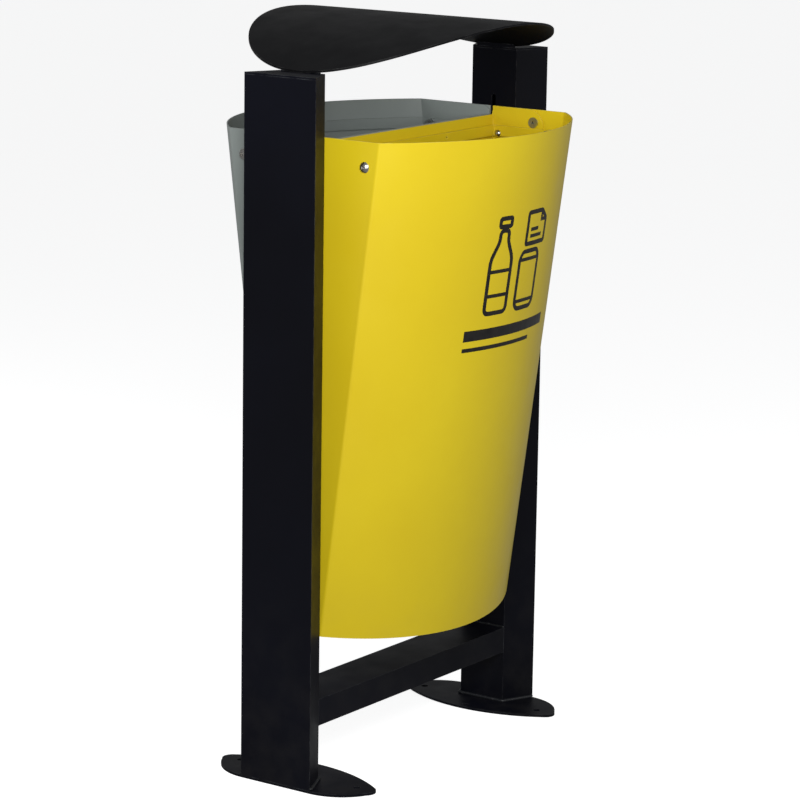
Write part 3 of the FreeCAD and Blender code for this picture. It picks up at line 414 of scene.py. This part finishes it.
def stroke(points, closed, width, vertices, faces):
    """Add a flat stroke along the points to a mesh that lies on the skin."""
    if closed:
        points = points + [points[0]]
    fine = [points[0]]
    for start, end in zip(points, points[1:]):
        count = max(1, math.ceil((end - start).length / STROKE_STEP_MM))
        fine += [start.lerp(end, i / count) for i in range(1, count + 1)]
    if closed:
        fine = fine[:-1]
    count = len(fine)
    first = len(vertices)
    for number, point in enumerate(fine):
        ahead = fine[(number + 1) % count] if closed or number + 1 < count else point
        behind = fine[number - 1] if closed or number else point
        arriving = (point - behind).normalized() if (point - behind).length else (ahead - point).normalized()
        leaving = (ahead - point).normalized() if (ahead - point).length else arriving
        along = (arriving + leaving).normalized()
        side = Vector((-along.y, along.x))
        stretch = 1 / max(0.5, along.dot(arriving))
        for offset in (side * width / 2 * stretch, -side * width / 2 * stretch):
            spot = point + offset
            vertices.append(on_skin(spot.x, spot.y))
    for number in range(count if closed else count - 1):
        a = first + 2 * number
        b = first + 2 * ((number + 1) % count)
        faces.append((a, a + 1, b + 1, b))


def bar(left, right, low, high, vertices, faces):
    """Plain filled bar on the skin."""
    middle = (low + high) / 2
    stroke([Vector((left, middle)), Vector((right, middle))], False, high - low, vertices, faces)


def label_piece(name, shapes):
    vertices, faces = [], []
    for shape in shapes:
        kind, data = shape[0], shape[1:]
        if kind == "outline":
            stroke(rounded(data[0], data[1]), True, STROKE_MM, vertices, faces)
        elif kind == "line":
            stroke([Vector(point) for point in data[0]], False, STROKE_MM * LINE_SHARE, vertices, faces)
        else:
            bar(*data, vertices, faces)
    piece = add_piece(name, vertices, faces, INK, "front_bin", smooth=False)
    film = piece.modifiers.new("film", "SOLIDIFY")
    film.thickness = FILM_THICKNESS
    film.offset = 0
    return piece


INK = ink("label_ink")
BOTTLE = [(-66, 690), (-66, 770), (-52, 796), (-52, 812), (-34, 812), (-34, 796), (-20, 770), (-20, 690)]
BOTTLE_CAP = [(-55, 818), (-55, 830), (-31, 830), (-31, 818)]
CAN = [(2, 697), (2, 764), (9, 774), (49, 774), (56, 764), (56, 697), (49, 689), (9, 689)]
PAPER = [(12, 785), (12, 832), (52, 832), (68, 818), (68, 785)]
label_piece("label_bottle", [("outline", BOTTLE, 9), ("outline", BOTTLE_CAP, 3),
                             ("line", [(-66, 752), (-20, 752)]), ("line", [(-66, 716), (-20, 716)])])
label_piece("label_can", [("outline", CAN, 5),
                          ("line", [(3, 762), (55, 762)]), ("line", [(3, 700), (55, 700)])])
label_piece("label_paper", [("outline", PAPER, 3),
                            ("line", [(52, 832), (52, 818), (68, 818)]), ("line", [(22, 796), (56, 796)]),
                            ("line", [(22, 806), (44, 806)])])
label_piece("label_bars", [("bar", -98, 112, 652, 668), ("bar", -98, 60, 636, 642)])


# ---------------------------------------------------------------- stage, light and camera

WORLD_STRENGTH = 0.25
WORLD_COLOUR = (0.98, 0.99, 1.0, 1)
FLOOR_GLOW = 0.72
FLOOR_REACH = 60.0
FLOOR_DROP = 0.0002
SOFTBOXES = (("key", (-1.6, -1.25, 1.5), (0.0, -0.12, 0.98), 1.1, 38.0),
             ("front", (0.6, -2.2, 1.6), (0.0, -0.2, 0.95), 1.0, 4.5),
             ("back", (-0.9, 2.4, 1.5), (0.0, 0.15, 0.7), 1.2, 22.0))


def studio():
    scene = bpy.context.scene
    floor_mesh = bpy.data.meshes.new("studio_floor")
    corners = [(x * FLOOR_REACH, y * FLOOR_REACH, 0) for x, y in ((-1, -1), (1, -1), (1, 1), (-1, 1))]
    floor_mesh.from_pydata(corners, [], [(0, 1, 2, 3)])
    floor = bpy.data.objects.new("studio_floor", floor_mesh)
    scene.collection.objects.link(floor)
    floor.location.z = -FLOOR_DROP
    shade = Shade("studio_floor")
    shade.set(Base_Color=(0.80, 0.80, 0.80, 1), Roughness=0.9, Specular_IOR_Level=0.1,
              Emission_Color=(1.0, 1.0, 1.0, 1), Emission_Strength=FLOOR_GLOW)
    floor_mesh.materials.append(shade.material)
    floor.visible_diffuse = False
    floor.visible_glossy = False
    world = bpy.data.worlds.new("studio")
    scene.world = world
    world.use_nodes = True
    background = world.node_tree.nodes["Background"]
    background.inputs["Color"].default_value = WORLD_COLOUR
    background.inputs["Strength"].default_value = WORLD_STRENGTH
    for name, place, aim, size, watts in SOFTBOXES:
        data = bpy.data.lights.new(name, "AREA")
        data.energy = watts
        data.shape = "SQUARE"
        data.size = size
        lamp = bpy.data.objects.new(name, data)
        lamp.location = place
        lamp.rotation_euler = (Vector(place) - Vector(aim)).to_track_quat("Z", "Y").to_euler()
        lamp.visible_camera = False
        lamp.visible_glossy = name != "back"
        scene.collection.objects.link(lamp)
    scene.view_settings.view_transform = "Standard"


CAMERA_PLACE = Vector((-3.9707, -2.7955, 1.5465))
CAMERA_HEADING = math.radians(54.9)
CAMERA_DIP = math.radians(11.85)
CAMERA_ROLL = math.radians(0.86)
CAMERA_LENS = 148.77
CAMERA_SENSOR = 36.0
CAMERA_CLIP_END = 200.0


def camera():
    data = bpy.data.cameras.new("camera")
    data.lens = CAMERA_LENS
    data.sensor_width = CAMERA_SENSOR
    data.clip_end = CAMERA_CLIP_END
    view = bpy.data.objects.new("camera", data)
    bpy.context.scene.collection.objects.link(view)
    forward = Vector((math.sin(CAMERA_HEADING) * math.cos(CAMERA_DIP),
                      math.cos(CAMERA_HEADING) * math.cos(CAMERA_DIP), -math.sin(CAMERA_DIP)))
    level = forward.cross(Vector((0, 0, 1))).normalized()
    upward = level.cross(forward)
    across = level * math.cos(CAMERA_ROLL) + upward * math.sin(CAMERA_ROLL)
    upward = upward * math.cos(CAMERA_ROLL) - level * math.sin(CAMERA_ROLL)
    matrix = view.matrix_world.copy()
    for row in range(3):
        matrix[row][0], matrix[row][1], matrix[row][2] = across[row], upward[row], -forward[row]
        matrix[row][3] = CAMERA_PLACE[row]
    view.matrix_world = matrix
    bpy.context.scene.camera = view


studio()
camera()
